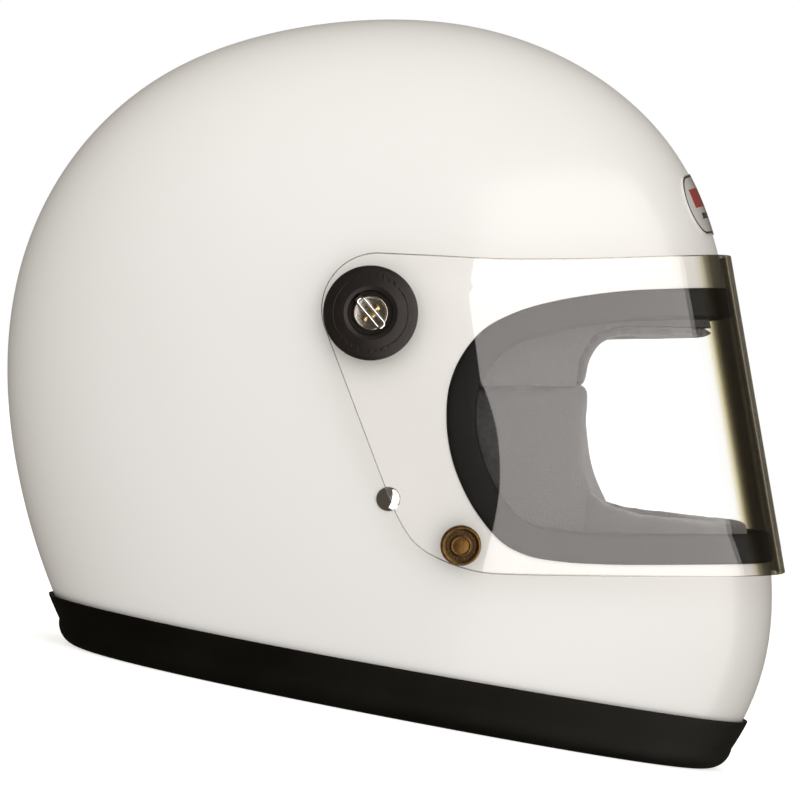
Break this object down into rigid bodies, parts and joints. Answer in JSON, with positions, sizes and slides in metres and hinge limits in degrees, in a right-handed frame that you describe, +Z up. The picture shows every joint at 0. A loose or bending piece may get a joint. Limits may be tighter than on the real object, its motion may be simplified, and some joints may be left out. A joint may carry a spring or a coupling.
{
  "type": "motorcycle helmet",
  "caption": "Retro full-face motorcycle helmet: gloss white shell, black rim trim, wide eyeport with a clear visor that swings up on side knobs, padded lining and ring-buckled strap.",
  "frame": {"origin": "on the floor under the middle of the helmet's length and width, with the helmet standing on its rim", "axes": "+X to the helmet's front, +Y to the wearer's left, +Z up"},
  "size_m": [0.3484, 0.2714, 0.2947],
  "materials": {
    "shell_gloss": "gloss white lacquer over a moulded shell",
    "foam": "moulded bead foam, dull",
    "lining": "brushed black lining cloth over soft foam",
    "rubber": "satin black rubber extrusion",
    "badge": "printed transfer under lacquer: red and black bands in a thin outline",
    "clear": "clear hard-coated polycarbonate",
    "knob_black": "satin black moulding",
    "nylon": "black nylon",
    "steel": "plated steel",
    "chrome": "bright chrome",
    "brass": "aged brass with dark recesses",
    "webbing": "black woven webbing"
  },
  "bodies": {
    "root": {"outer_shell": "shell_gloss", "eps_liner": "foam", "comfort_liner": "lining", "right_cheek_pad": "lining", "left_cheek_pad": "lining", "chin_bar_foam": "lining", "neck_roll": "lining", "rim_trim": "rubber", "eyeport_gasket": "rubber", "forehead_badge": "badge", "right_pivot_insert": "steel", "right_base_washer": "nylon", "right_pivot_bush": "nylon", "right_pivot_knob": "knob_black", "right_strap_rivet": "chrome", "right_strap_washer": "steel", "right_snap_stud": "brass", "left_pivot_insert": "steel", "left_base_washer": "nylon", "left_pivot_bush": "nylon", "left_pivot_knob": "knob_black", "left_strap_rivet": "chrome", "left_strap_washer": "steel", "left_snap_stud": "brass"},
    "visor": {"visor_shield": "clear", "right_snap_socket": "brass", "right_snap_cap": "brass", "left_snap_socket": "brass", "left_snap_cap": "brass"},
    "right_fastener": {"right_fastener_stud": "steel"},
    "right_bail": {"right_fastener_bail": "steel"},
    "left_fastener": {"left_fastener_stud": "steel"},
    "left_bail": {"left_fastener_bail": "steel"},
    "chin_strap": {"left_strap": "webbing", "right_strap": "webbing", "upper_strap_ring": "steel", "lower_strap_ring": "steel"}
  },
  "joints": [
    {"name": "visor_pivot", "type": "hinge", "parent": "root", "child": "visor", "pos_m": [-0.02046, 0, 0.163], "axis": [0, -1, 0], "range_deg": [0, 78]},
    {"name": "right_fastener_turn", "type": "hinge", "parent": "root", "child": "right_fastener", "pos_m": [-0.02046, -0.1316, 0.163], "axis": [0, -1, 0], "range_deg": [0, 90]},
    {"name": "right_bail_fold", "type": "hinge", "parent": "right_fastener", "child": "right_bail", "pos_m": [-0.02618, -0.1345, 0.16763], "axis": [-0.6293, 0, -0.7771], "range_deg": [0, 90]},
    {"name": "left_fastener_turn", "type": "hinge", "parent": "root", "child": "left_fastener", "pos_m": [-0.02046, 0.1316, 0.163], "axis": [0, 1, 0], "range_deg": [0, 90]},
    {"name": "left_bail_fold", "type": "hinge", "parent": "left_fastener", "child": "left_bail", "pos_m": [-0.02618, 0.1345, 0.16763], "axis": [0.6293, 0, 0.7771], "range_deg": [0, 90]},
    {"name": "chin_strap_swing", "type": "hinge", "parent": "root", "child": "chin_strap", "pos_m": [0.00112, 0, 0.08967], "axis": [0, -1, 0], "range_deg": [-12, 12]}
  ]
}
